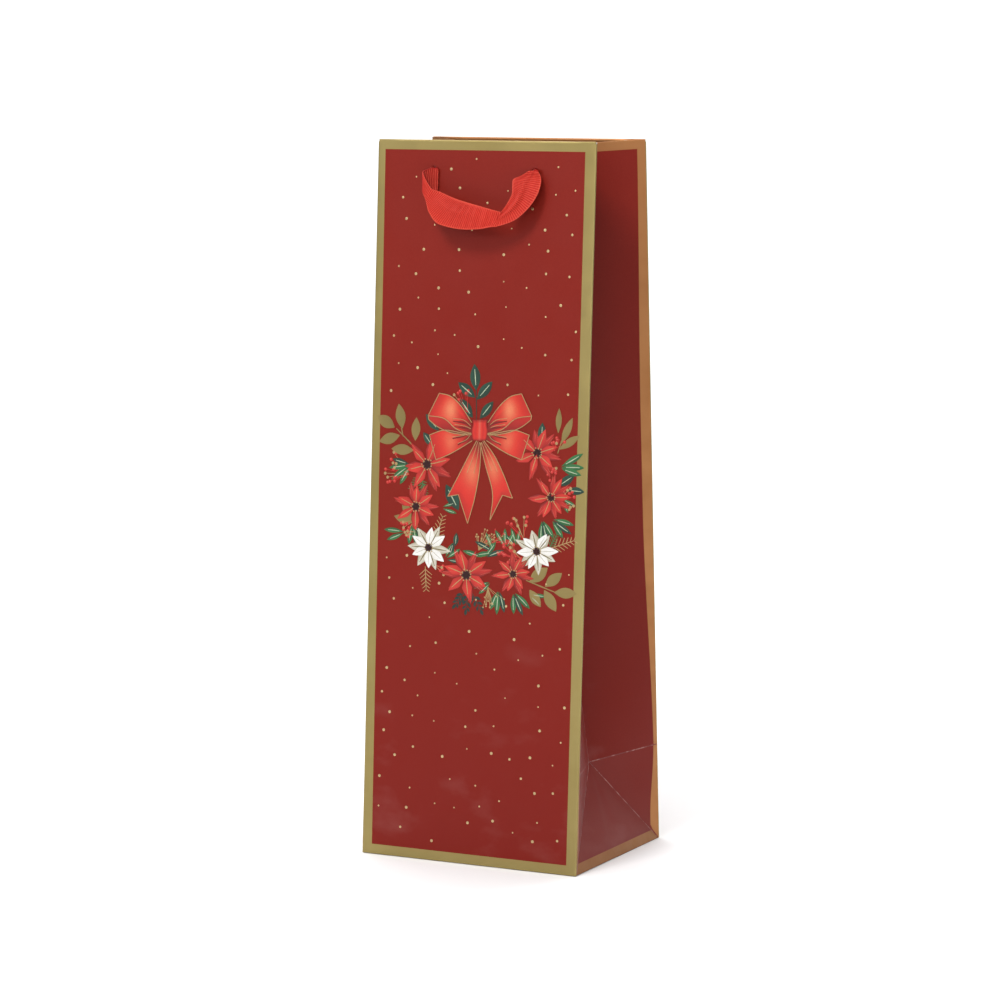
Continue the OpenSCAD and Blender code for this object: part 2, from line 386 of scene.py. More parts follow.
# The same gold foil painted darker and coppery, a painted shade and warm reflection, for the gussets' foil and
# the inside of the hems.
SHADED_GOLD = gold_foil("gold_foil_shaded", linear((173, 121, 78)), linear((162, 111, 70)))
WHITE, GREY, INK = white_paper(), grey_board(), print_ink()
RIBBON = grosgrain("grosgrain", linear((168, 20, 10)), linear((156, 14, 7)))
# A darker copy of the ribbon for one face, a painted shade for the inside of the loop.
RIBBON_SHADED = grosgrain("grosgrain_painted_shade", linear((142, 13, 8)), linear((128, 10, 6)))
PAPER_SLOTS = [RED, GOLD, WHITE, WEAR_AND_HIGHLIGHT, SHADED_GOLD, SIDE_RED]
RED_I, GOLD_I, WHITE_I, WEAR_AND_HIGHLIGHT_I, SHADED_GOLD_I, SIDE_I = range(6)

# ---------- Mesh helpers ----------


def new_piece(name, verts, faces, materials, indices=None, sharp=38):
    mesh = bpy.data.meshes.new(name)
    mesh.from_pydata([tuple(v) for v in verts], [], faces)
    for m in materials:
        mesh.materials.append(m)
    if indices is not None:
        mesh.polygons.foreach_set("material_index", indices)
    mesh.polygons.foreach_set("use_smooth", [True] * len(faces))
    mesh.validate()
    mesh.update()
    face_outwards(mesh)
    mesh.set_sharp_from_angle(angle=math.radians(sharp))
    return new_object(name, mesh)


def face_outwards(mesh):
    """Turns every face of a closed mesh outwards."""
    bm = bmesh.new()
    bm.from_mesh(mesh)
    bmesh.ops.recalc_face_normals(bm, faces=bm.faces)
    bm.to_mesh(mesh)
    bm.free()


class Sheets:
    """Closed thin sheets in one mesh, each from a grid of outer points and a matching one of inner points."""

    def __init__(self):
        self.verts, self.faces, self.indices = [], [], []

    def add(self, outer, inner, tag, inner_tag=WHITE_I, edge_tag=WHITE_I):
        """tag is the outer faces' material, or a function of the face's row and column that gives it."""
        rows, cols = len(outer), len(outer[0])
        start, depth = len(self.verts), rows * cols
        for grid in (outer, inner):
            for line in grid:
                self.verts.extend(line)

        def put(a, b, c, d, index):
            self.faces.append((start + a, start + b, start + c, start + d))
            self.indices.append(index)

        for r in range(rows - 1):
            for c in range(cols - 1):
                k = r * cols + c
                put(k, k + cols, k + cols + 1, k + 1, tag(r, c) if callable(tag) else tag)
                put(depth + k, depth + k + 1, depth + k + cols + 1, depth + k + cols,
                    inner_tag(r, c) if callable(inner_tag) else inner_tag)
            for k, flip in ((r * cols, 1), (r * cols + cols - 1, 0)):
                quad = (k, k + depth, k + depth + cols, k + cols)
                put(*(quad if flip else quad[::-1]), edge_tag)
        for c in range(cols - 1):
            put(c, c + 1, c + 1 + depth, c + depth, edge_tag)
            k = (rows - 1) * cols + c
            put(k, k + depth, k + depth + 1, k + 1, edge_tag)

    def piece(self, name, place):
        return new_piece(name, [place(v) for v in self.verts], self.faces, PAPER_SLOTS, self.indices)


# ---------- The folded sheet's geometry, for the front right quarter ----------


def fold_point(s):
    """The sharp line of the side fold, at the distance s up the panel."""
    return np.array([HALF_W, -HALF_D, 0]) + s * UP_PANEL


def hinge_point(s):
    """The end of the side fold's round, where the gusset starts."""
    return fold_point(s) + INSET * INTO


SCORE = fold_point(GUSSET)
TIP_Z = (SCORE[1] ** 2 + SCORE[2] ** 2) / (2 * SCORE[2])
TIP_IN = math.sqrt(GUSSET ** 2 - TIP_Z ** 2)


def crease_fall_at_top():
    """How far the top of the centre crease lies below the panel's top corner, as its length allows."""
    top = fold_point(HEIGHT)
    crease_l = HEIGHT - GUSSET
    top_r = math.sqrt(GUSSET ** 2 - top[1] ** 2)
    rise = top[2] - TIP_Z
    span = math.hypot(TIP_IN, rise)
    along = (top_r ** 2 - crease_l ** 2 + span ** 2) / (2 * span)
    across = math.sqrt(top_r ** 2 - along ** 2)
    return along * rise / span - across * TIP_IN / span


FALL_LOW, FALL_HIGH = SCORE[2] - TIP_Z, crease_fall_at_top()


def crease_point(s):
    """The gusset's centre crease, where the half's width and the crease's fall put it."""
    fold = fold_point(s)
    fall = mix(FALL_LOW, FALL_HIGH, (s - GUSSET) / (HEIGHT - GUSSET))
    return np.array([HALF_W - math.sqrt(GUSSET ** 2 - fold[1] ** 2 - fall ** 2), 0, fold[2] - fall])


def across_gusset(s):
    s = max(s, GUSSET)
    return unit(crease_point(s) - hinge_point(s))


def into_bag(s):
    """The level direction square to the gusset half."""
    d = across_gusset(s)
    return unit(np.array([-d[1], d[0], 0]))


def fold_angle(s):
    """How far the gusset half has turned in from square to the panel."""
    d = across_gusset(s)
    return math.atan2(-d[0], d @ INTO)


def quarter(sx, sy):
    """Carries a point of the front right quarter to another quarter."""
    return lambda p: (sx * p[0], -sy * p[1], p[2])


def quarter_names(sx, sy):
    return ("front" if sy < 0 else "back"), ("right" if sx > 0 else "left")


def turned(p):
    """Carries a point of the front panel to the back panel."""
    return (-p[0], -p[1], p[2])


def unturned(p):
    return tuple(p)


# ---------- Panels ----------

CROWN, RIPPLE = 0.55 * MM, 0.10 * MM
FOLD_STEPS = 9  # points round a side fold
HEM_GAP = 0.06 * MM
HEM_LOOSE = 2.6 * MM  # the hem's last stretch, where it leaves the board for the paper
TOP_ROUND = 13  # points round the fold at the mouth


def wave(x, s):
    """How far the paper of a panel stands off its plane: a slight crown and a few soft ripples."""
    across = 1 - (x / HALF_W) ** 2
    upward = math.sin(math.pi * min(1, max(0, (s - 4 * MM) / (HEIGHT - HEM - 4 * MM))))
    crown = CROWN * across * upward
    ripple = RIPPLE * math.sin(x / MM / 17 + 1.3) * math.sin(s / MM / 41 + x / MM / 60)
    return crown + ripple * upward * across


def panel_point(x, s, deep=0.0):
    return np.array([0, -HALF_D, 0]) + x * RIGHT + s * UP_PANEL + (deep - wave(x, s)) * INTO


def left_border(s):
    """The border's inner edge runs a little askew to the left fold."""
    return -HALF_W + mix(5.6, 3.9, s / HEIGHT) * MM


def right_border(s):
    return HALF_W - mix(5.3, 5.7, s / HEIGHT) * MM


def panel_columns(s):
    """(place across the panel, turn round the side fold) of each column at height s, from left to right."""
    angle = fold_angle(s)
    radius = INSET / (1 + math.sin(angle))
    edge = HALF_W - radius * math.cos(angle)
    left, right = left_border(s), right_border(s)
    flat = ([-edge, mix(-edge, left, 0.5)] + spread(left, right, 26)
            + [mix(right, edge, 0.5), edge])
    turns = spread(-math.pi / 2, angle, FOLD_STEPS)[1:]
    return ([(-1, radius, edge, a) for a in reversed(turns)] + [(0, 0, x, 0) for x in flat]
            + [(1, radius, edge, a) for a in turns])


def column_point(column, s, deep):
    side, radius, x, angle = column
    if side == 0:
        return panel_point(x, s, deep)
    reach = radius - deep
    out = x + reach * math.cos(angle)
    return panel_point(side * x, s) + side * (out - x) * RIGHT + (radius + reach * math.sin(angle)) * INTO


def hem_board(x):
    """Thickness of what the hem is folded over, which thins out past the board's ends."""
    return BOARD_T * (1 - smooth((abs(x) - BOARD_X) / (1.5 * MM))) + HEM_GAP


def panel_sheet(body, place):
    """A panel from the left side fold's arc to the right one, with its folded top and punched holes."""
    sheets = Sheets()
    foot = 0.35 * MM
    stations = sorted(spread(foot, HEIGHT - HEM, 70) + [BORDER_LOW, HEIGHT - BORDER_HIGH]
                      + spread(HEIGHT - HEM + 2 * MM, HEIGHT - 1.2 * MM, 14))
    columns = [panel_columns(s) for s in stations]
    count = len(columns[0])
    outer = [[column_point(c, s, 0) for c in line] for s, line in zip(stations, columns)]
    inner = [[column_point(c, s, PAPER) for c in line] for s, line in zip(stations, columns)]
    arc = FOLD_STEPS - 1
    first_red, last_red = arc + 2, count - 1 - arc - 3

    def tag(r, c):
        inside = BORDER_LOW <= 0.5 * (stations[r] + stations[r + 1]) <= HEIGHT - BORDER_HIGH
        return RED_I if inside and first_red <= c <= last_red else GOLD_I

    sheets.add(outer, inner, tag, edge_tag=GOLD_I)
    add_top_fold(sheets, [c[2] for c in columns[-1] if c[0] == 0], stations[-1])
    piece = sheets.piece(body + "_panel_sheet", place)
    punch(piece, place)
    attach(piece, body)
    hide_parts(body + "_panel", body + "_hem")


def add_top_fold(sheets, across, start):
    """The paper goes over the board at the mouth and down inside as the hem."""
    outer, inner, profile = [], [], []
    for x in across:
        radius = (2 * PAPER + hem_board(x)) / 2
        line = [(start, 0.0, 0.0, 1.0)]
        line += [(HEIGHT - radius + radius * math.sin(a), radius - radius * math.cos(a),
                  -math.sin(a), math.cos(a)) for a in spread(0, math.pi, TOP_ROUND)]
        inside = spread(HEIGHT - radius - 0.5 * MM, HEIGHT - HEM + HEM_LOOSE, 12)
        for s in inside + [HEIGHT - HEM + 1.0 * MM, HEIGHT - HEM]:
            low = smooth((HEIGHT - HEM + HEM_LOOSE - s) / (1.6 * MM))
            line.append((s, mix(2 * radius, 2 * PAPER + HEM_GAP, low), 0.0, -1.0))
        profile.append(line)
    for r in range(len(profile[0])):
        outer.append([panel_point(x, line[r][0], line[r][1]) for x, line in zip(across, profile)])
        inner.append([panel_point(x, line[r][0] + line[r][2] * PAPER, line[r][1] + line[r][3] * PAPER)
                      for x, line in zip(across, profile)])
    # Gold outside the mouth's fold; further round and down inside, the foil's painted-shade copy; then red.
    sheets.add(outer, inner, lambda r, c: GOLD_I if r < 6 else SHADED_GOLD_I if r < 19 else RED_I, edge_tag=GOLD_I)


def punch(piece, place):
    """Cuts the two handle holes."""
    cutters = []
    for side in (-1, 1):
        ring = full_turn(32)
        verts = []
        for deep in (-3 * MM, 5 * MM):
            verts += [place(np.array([0, -HALF_D, 0]) + (side * HOLE_X + HOLE_R * math.cos(a)) * RIGHT
                            + (HOLE_S - HOLE_LOW + HOLE_R * math.sin(a)) * UP_PANEL + deep * INTO)
                      for a in ring]
        n = len(ring)
        faces = [(i, (i + 1) % n, n + (i + 1) % n, n + i) for i in range(n)]
        faces += [tuple(range(n)), tuple(range(2 * n - 1, n - 1, -1))]
        cutter = new_piece("hole_cutter", verts, faces, [WHITE])
        cutters.append(cutter)
        cut = piece.modifiers.new("hole", "BOOLEAN")
        cut.object, cut.solver = cutter, "EXACT"
        bpy.context.view_layer.objects.active = piece
        bpy.ops.object.modifier_apply(modifier="hole")
    for cutter in cutters:
        bpy.data.objects.remove(cutter)


panel_sheet("front", unturned)
panel_sheet("back", turned)


def give_finish(names, finish):
    """A carried-over CAD node keeps its shape and gets a material."""
    for name in names:
        slots = frame["nodes"][name].data.materials
        slots.clear()
        slots.append(finish)


give_finish(("front_board", "back_board", "base_board"), GREY)
give_finish(("bottom_flap_back", "bottom_flap_front", "bottom_flap_left", "bottom_flap_right"), RED)

# ---------- Print: places in millimetres, x across from a panel's middle and s up from its foot ----------


def panel_mm(x, s, lift):
    return panel_point(x * MM, s * MM, -lift * MM)


def askew(x, s):
    """The wreath is printed a little askew."""
    low = max(0, 188 - s)
    return x + 0.035 * low, s + 0.045 * x + 0.05 * low


SLAB = 0.02  # thickness of a printed shape


class Print(Sheets):
    """Flat printed shapes, each a closed slab a few hundredths of a millimetre proud of the panel."""

    def __init__(self):
        super().__init__()
        self.inks, self.count, self.placed = [], 0, askew

    def slab(self, grid, ink, lift):
        """ink is a colour, or a function of the shares along and across the grid."""
        self.count += 1
        lift += 0.0035 * (self.count % 12)
        self.add(*[[[panel_mm(*self.placed(x, s), height) for x, s in line] for line in grid]
                   for height in (lift, lift - SLAB)], 0, 0, 0)
        rows, cols = len(grid) - 1, len(grid[0]) - 1
        self.inks += 2 * [ink(r / rows, c / cols) if callable(ink) else ink
                          for r in range(rows + 1) for c in range(cols + 1)]

    def disc(self, x, s, radius, ink, lift, sides=10, dome=0.0):
        """A round spot, which rises by dome towards its middle."""
        start = len(self.verts)
        x, s = self.placed(x, s)
        for share, height in ((1, lift - SLAB), (1, lift), (0.6, lift + dome)):
            reach = share * radius
            self.verts += [panel_mm(x + reach * math.cos(a), s + reach * math.sin(a), height)
                           for a in full_turn(sides)]
        for k in (0, sides):
            for i in range(sides):
                j = (i + 1) % sides
                self.faces.append(tuple(start + k + n for n in (i, j, sides + j, sides + i)))
                self.indices.append(0)
        for k, step in ((0, -1), (2 * sides, 1)):
            self.faces.append(tuple(start + k + i for i in range(sides))[::step])
            self.indices.append(0)
        self.inks += [ink] * 3 * sides

    def strip(self, points, width, ink, lift, taper=0.35):
        """A line through the points, which narrows to taper of its width at its ends."""
        points = [np.array(p, float) for p in points]
        grid = []
        for i, p in enumerate(points):
            way = unit(points[min(i + 1, len(points) - 1)] - points[max(i - 1, 0)])
            share = i / (len(points) - 1)
            half = width / 2 * mix(taper, 1, math.sin(math.pi * min(0.85, max(0.15, share))))
            side = half * np.array([-way[1], way[0]])
            grid.append([p - side, p + side])
        self.slab(grid, ink, lift)

    def between(self, first, second, ink, lift, cols=7):
        """The area between two edges with the same number of points."""
        self.slab([[mix(a, b, u) for u in spread(0, 1, cols)] for a, b in zip(first, second)], ink, lift)


def curve(points, steps=14):
    """Evenly timed points on a smooth curve through a few points."""
    p = [np.array(q, float) for q in points]
    p = [2 * p[0] - p[1], *p, 2 * p[-1] - p[-2]]
    spans = len(p) - 3
    found = []
    for i in range(steps + 1):
        where = min(spans - 1e-9, i / steps * spans)
        k, t = int(where), where - int(where)
        a, b, c, d = p[k:k + 4]
        found.append(0.5 * (2 * b + (c - a) * t + (2 * a - 5 * b + 4 * c - d) * t ** 2
                            + (3 * b - a - 3 * c + d) * t ** 3))
    return found


def heading(angle):
    return np.array([math.cos(math.radians(angle)), math.sin(math.radians(angle))])


def shade(*stops):
    """A colour from (share, colour) stops."""

    def at(t):
        for (t0, c0), (t1, c1) in zip(stops, stops[1:]):
            if t <= t1:
                return tuple(mix(a, b, smooth((t - t0) / (t1 - t0))) for a, b in zip(c0, c1))
        return stops[-1][1]

    return at


INK_GAIN = 0.74


def ink(r, g, b):
    return tuple(INK_GAIN * c for c in linear((r, g, b)))


LEAF_LIFT, FLOWER_LIFT, BOW_LIFT = 0.07, 0.12, 0.19  # millimetres proud of the panel
DARK_GREEN, DEEP_GREEN, MID_GREEN = ink(32, 74, 58), ink(22, 56, 48), ink(52, 120, 68)
RIB_GREEN, RIB_GOLD, LEAF_GOLD = ink(190, 204, 172), ink(216, 184, 132), ink(176, 158, 104)
DOT_GOLD = ink(240, 212, 160)
BERRY, BERRY_LIGHT = ink(206, 44, 40), ink(228, 96, 84)
PETAL, PETAL_EDGE = ink(230, 62, 50), ink(190, 36, 30)
PETAL_BACK, PETAL_DEEP = ink(202, 42, 36), ink(122, 20, 18)
VEIN = ink(222, 96, 76)
CREAM, CREAM_EDGE = ink(255, 253, 250), ink(243, 240, 232)
CREAM_BACK, CREAM_DEEP = ink(226, 220, 204), ink(170, 160, 128)
OLIVE = ink(120, 108, 66)
SEED, BOW_RED, BOW_SALMON, BOW_DEEP = ink(52, 12, 14), ink(222, 46, 34), ink(240, 140, 98), ink(126, 20, 16)


def petal_grid(base, angle, length, width, bend=0.0, full=0.45, shouldered=False, rows=11, cols=5):
    """A pointed leaf or petal shape, widest at the share "full" of its length."""
    way, side = heading(angle), heading(angle + 90)
    power = math.log(0.5) / math.log(full)
    grid = []
    for t in spread(0, 1, rows):
        middle = np.array(base) + length * (t * way + bend * t * t * side)
        if shouldered:
            swell = (t / full) ** 0.75 if t < full else ((1 - t) / (1 - full)) ** 0.8
        else:
            swell = math.sin(math.pi * min(0.995, max(0.02, t)) ** power) ** 0.88
        half = max(0.03, width / 2 * swell)
        grid.append([middle + half * u * side for u in spread(-1, 1, cols)])
    return grid


def middle_line(grid, start, end):
    """The grid's middle column from the share start of its rows to the share end."""
    first, last = int(start * len(grid)), int(end * len(grid))
    return [row[len(row) // 2] for row in grid[first:max(first + 2, last)]]


def leaf(sheet, base, angle, length, width, colour, rib=None, bend=0.0, full=0.5, gap=0.0):
    """A leaf with a dark half and a light one, and perhaps a thin rib; gap keeps it off its stem."""
    base = np.array(base) + gap * heading(angle)
    grid = petal_grid(base, angle, length, width, bend, full)
    dark = tuple((0.94 if colour is LEAF_GOLD else 0.62) * c for c in colour)
    sheet.slab(grid, lambda t, u: tuple(mix(a, b, smooth(u)) for a, b in zip(dark, colour)), LEAF_LIFT)
    if rib:
        sheet.strip(middle_line(grid, 0.2, 0.88), 0.026 * length + 0.14, rib, LEAF_LIFT + 0.05)


def sprig(sheet, base, angle, length, pairs, leaf_l, leaf_w, colour):
    """A stem with leaves in pairs and one at its tip."""

    def place(t):
        return np.array(base) + length * (t * heading(angle))

    sheet.strip([place(t) for t in spread(0, 1, 9)], 0.5, colour, LEAF_LIFT - 0.02)
    for i in range(pairs):
        t = (i + 0.65) / (pairs + 0.35)
        size = 1 - 0.12 * i
        for s in (-1, 1):
            leaf(sheet, place(t + 0.05 * s), angle + 42 * s, leaf_l * size, leaf_w * size, colour,
                 bend=-0.08 * s, gap=0.6)
    leaf(sheet, place(0.98), angle, leaf_l, leaf_w, colour)


NEEDLE_PAIRS = 6


def fir(sheet, base, angle, length, needle, colour, width):
    """A fir twig: a stalk with needles in pairs, which get shorter towards its tip."""
    base, way, side = np.array(base), heading(angle), heading(angle + 90)
    sheet.strip([base + share * length * way for share in (0, 0.5, 1)], 0.5, colour, LEAF_LIFT)
    for i in range(NEEDLE_PAIRS):
        t = 0.12 + 0.86 * i / (NEEDLE_PAIRS - 1)
        root = base + t * length * way
        reach = needle * (1 - 0.55 * t)
        for s in (-1, 1):
            tip = root + reach * (0.64 * way + s * 0.77 * side)
            sheet.strip([root, mix(root, tip, 0.5) + 0.1 * way, tip], width, colour, LEAF_LIFT)


def berry_spray(red, foil, base, angle, length, count, size, gold_share, seed):
    """Berries on thin gold stems that fan out from the base."""
    draw = random.Random(seed)
    for i in range(count):
        reach = length * draw.uniform(0.5, 1.0)
        way = heading(angle + draw.uniform(-38, 38))
        tip = np.array(base) + reach * way
        golden = draw.random() < gold_share
        stalk = [np.array(base), mix(np.array(base), tip, 0.55) + 0.5 * heading(angle), tip]
        (foil if golden else red).strip(stalk, 0.24, RIB_GOLD if golden else BERRY, LEAF_LIFT)
        if golden:
            foil.disc(*tip, size * 0.9, RIB_GOLD, FLOWER_LIFT, dome=0.03)
        else:
            red.disc(*tip, size, BERRY, FLOWER_LIFT - 0.02)
            shine = tip + [-0.25 * size, 0.25 * size]
            red.disc(*shine, size * 0.4, BERRY_LIGHT, FLOWER_LIFT + 0.01, sides=7)


def poinsettia(red, foil, centre, radius, turn, white=False):
    """Two rings of pointed petals round a dark, speckled middle."""
    centre = np.array(centre)
    draw = random.Random(int(100 * turn + 7 * radius))
    body, edge, back, deep = ((CREAM, CREAM_EDGE, CREAM_BACK, CREAM_DEEP) if white
                              else (PETAL, PETAL_EDGE, PETAL_BACK, PETAL_DEEP))
    rings = ([(6, 1.04, 0.44, 30, back, deep, 0.0), (6, 0.94, 0.43, 0, body, edge, 0.045)] if white
             else [(7, 1.06, 0.36, 26, back, deep, 0.0), (6, 0.96, 0.40, 0, body, edge, 0.045)])
    for count, reach, width, start, fill, shadow, above in rings:
        for i in range(count):
            angle = turn + start + 360 / count * i + draw.uniform(-8, 8)
            length = radius * reach * draw.uniform(0.86, 1.06)
            wide = radius * width * draw.uniform(0.9, 1.1)
            root = centre + 0.05 * radius * heading(angle)
            grid = petal_grid(root, angle, length, wide, draw.uniform(-0.08, 0.08), 0.52, shouldered=True)
            dim = draw.uniform(0.86, 1.0) if not white else 1.0

            def lit(t, u, fill=fill, shadow=shadow, dim=dim):
                share = smooth(0.2 + 1.15 * t) * (1 - 0.6 * abs(2 * u - 1) ** 2) - 0.25 * (u < 0.4)
                return tuple(dim * mix(b, a, max(0, share)) for a, b in zip(fill, shadow))

            red.slab(grid, lit, FLOWER_LIFT + above)
            top = FLOWER_LIFT + above + 0.042
            rib = middle_line(grid, 0.14, 0.86)
            if white:
                share, colour = (0.02, CREAM_DEEP) if above else (0.05, OLIVE)
                red.strip(rib, share * radius, colour, top, taper=0.2)
            elif above:
                foil.strip(rib, 0.036 * radius, RIB_GOLD, top, taper=0.3)
            else:
                for veer in (-9, 9):
                    far = root + 0.9 * length * heading(angle + 0.4 * veer)
                    near = root + 0.5 * length * heading(angle + veer)
                    red.strip([near, mix(root, far, 0.8), far], 0.2, VEIN, top, taper=0.2)
    for i in range(8):
        spot = centre + (0.12 if i < 7 else 0) * radius * heading(51 * i + turn)
        red.disc(*spot, 0.075 * radius, SEED, BOW_LIFT + 0.01, sides=8)
    for i in range(11):
        spot = centre + (0.19 + 0.04 * (i % 2)) * radius * heading(33 * i + 11)
        foil.disc(*spot, 0.032 * radius, RIB_GOLD, BOW_LIFT + 0.02, sides=7)


def bow(red, foil, centre):
    """A tied bow: two open loops above two flat ones, two notched tails and a knot."""
    middle = np.array(centre)

    def at(points, flip):
        return [middle + (flip * x, s) for x, s in points]

    def satin(lit, strength=0.85, dark_end=0.3, streaks=1.0):
        def colour(t, u):
            near = mix(0.15, 1, smooth(t / dark_end)) * mix(1, 0.66, smooth((t - 0.72) / 0.28))
            glow = strength * math.exp(-((t - lit) / 0.15) ** 2) * (1 - 0.8 * abs(2 * u - 1) ** 1.5)
            fold = 1 - 0.4 * streaks * (0.5 + 0.5 * math.sin(17 * u + 1.8 * t)) * (1 - smooth(t / 0.75))
            red_now = [mix(a, b, near) * fold for a, b in zip(BOW_DEEP, BOW_RED)]
            return tuple(mix(a, b, glow) for a, b in zip(red_now, BOW_SALMON))
        return colour

    def outline(points, lift, width=0.42):
        foil.strip(points, width, RIB_GOLD, lift + 0.05, taper=0.8)

    def band(first, second, colour, lift, flip, end=None):
        first, second = curve(at(first, flip)), curve(at(second, flip))
        pull = np.array(at([end], flip)[0]) - mix(first[-1], second[-1], 0.5) if end else np.zeros(2)
        grid = []
        for i, (a, b) in enumerate(zip(first, second)):
            drawn = smooth((i / (len(first) - 1) - 0.7) / 0.3) * pull
            grid.append([mix(a, b, u) + (1 - abs(2 * u - 1)) * drawn for u in spread(0, 1, 9)])
        red.slab(grid, colour, lift)
        for edge in (first, second, grid[-1]):
            outline(edge, lift)

    tails = {-1: ([(1.5, -5), (6, -13), (12, -24), (17, -33)],
                  [(-1, -6), (-0.5, -20), (2, -34), (6, -47)], (11, -32)),
             1: ([(2.5, -5), (9, -13), (15, -24), (19, -33.5)],
                 [(0.5, -6), (4, -18), (8, -31), (6.5, -45)], (13.5, -32))}
    for flip, (outer, inner, notch) in tails.items():
        band(outer, inner, satin(0.42, 0.7, 0.3, 0.9), BOW_LIFT, flip, notch)
        for share, reach in ((0.3, 8), (0.66, 7)):
            a, b = curve(at(outer, flip)), curve(at(inner, flip))
            outline([mix(p, q, share) for p, q in zip(a[:reach], b[:reach])], BOW_LIFT, 0.3)
    rim = [(4.5, -1.5), (13, 0.8), (20, 6), (29, 7.4)]
    for flip, grow in ((-1, 1.0), (1, 0.98)):
        sized = lambda points: [(grow * x, grow * s) for x, s in points]
        band(sized([(4.5, -2), (12, -0.8), (20, 0.2), (28, -2.2)]),
             sized([(4, -5), (11, -9), (17, -12), (24, -14.6)]), satin(0.55, 0.5), BOW_LIFT + 0.01, flip)
        band(sized(rim), sized([(6, -2.2), (15, -1.2), (23, 1.6), (28.6, 5.4)]),
             lambda t, u: tuple(mix(a, b, smooth(1.3 * t - 0.3 * u)) for a, b in zip(BOW_DEEP, PETAL_EDGE)),
             BOW_LIFT + 0.02, flip)
        band(sized([(4.5, 4), (10.5, 12), (16.5, 17), (23, 18.6)]), sized(rim),
             satin(0.58, 0.95), BOW_LIFT + 0.03, flip)
        for rise, reach, far in ((7.5, 15, 4.5), (3.2, 14, 3), (-3.4, 15, -3), (-6.4, 12, -6.5)):
            start = (5, 0.3 * rise)
            shadow = [start, (0.6 * reach, 0.6 * rise - 0.6), (reach, 0.45 * rise + 0.5 * far - 1)]
            pleat = [start, (0.6 * reach, 0.7 * rise), (reach, 0.5 * rise + 0.5 * far)]
            red.strip(curve(at(shadow, flip), 6), 1.1, BOW_DEEP, BOW_LIFT + 0.06, taper=0.05)
            outline(curve(at(pleat, flip), 6), BOW_LIFT + 0.03, 0.3)
    knot = [(4.6, 5.4), (3.9, 3.2), (4.6, 0), (4.2, -3.2), (3.8, -5)]
    left, right = (curve(at(knot, flip)) for flip in (-1, 1))
    folds = shade((0, BOW_DEEP), (0.14, BOW_RED), (0.24, PETAL_BACK), (0.38, BOW_RED), (0.5, VEIN),
                  (0.62, BOW_RED), (0.72, PETAL_BACK), (0.86, BOW_RED), (1, BOW_DEEP))
    ends = lambda t: mix(1, 0.45, smooth((abs(2 * t - 1) - 0.55) / 0.45))
    red.between(left, right, lambda t, u: tuple(ends(t) * c for c in folds(u)), BOW_LIFT + 0.10, cols=15)


